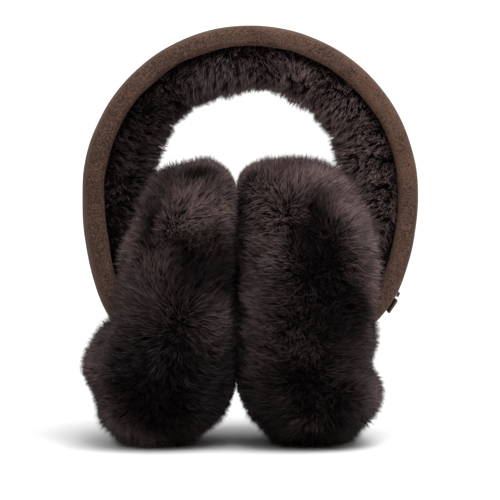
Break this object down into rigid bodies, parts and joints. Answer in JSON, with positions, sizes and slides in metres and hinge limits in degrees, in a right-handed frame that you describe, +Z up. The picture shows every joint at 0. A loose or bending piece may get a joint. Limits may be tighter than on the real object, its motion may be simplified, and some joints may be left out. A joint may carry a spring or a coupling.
{
  "type": "fur earmuffs",
  "caption": "Sheepskin earmuffs: an arched, suede-covered headband with a deep fur lining and a thick all-over fur cup for each ear.",
  "frame": {"origin": "on the floor under the centre of the headband, at the middle of the object's width and depth", "axes": "+Z up, from the cups' flat undersides to the headband's crown; +X to the right as seen from the front, on the side of the metal plate; -Y to the front"},
  "size_m": [0.1468, 0.1077, 0.1823],
  "materials": {
    "suede": "brushed brown suede, matte, with a short soft nap",
    "shearling": "dense dyed sheepskin fur, dark brown, soft sheen on the tips",
    "bronze": "darkened bronze, satin"
  },
  "bodies": {
    "root": {"headband_cover": "suede", "headband_lining": "shearling", "ear_cup_left": "shearling", "ear_cup_right": "shearling", "badge_plate": "bronze", "badge_stud": "bronze"}
  },
  "joints": []
}
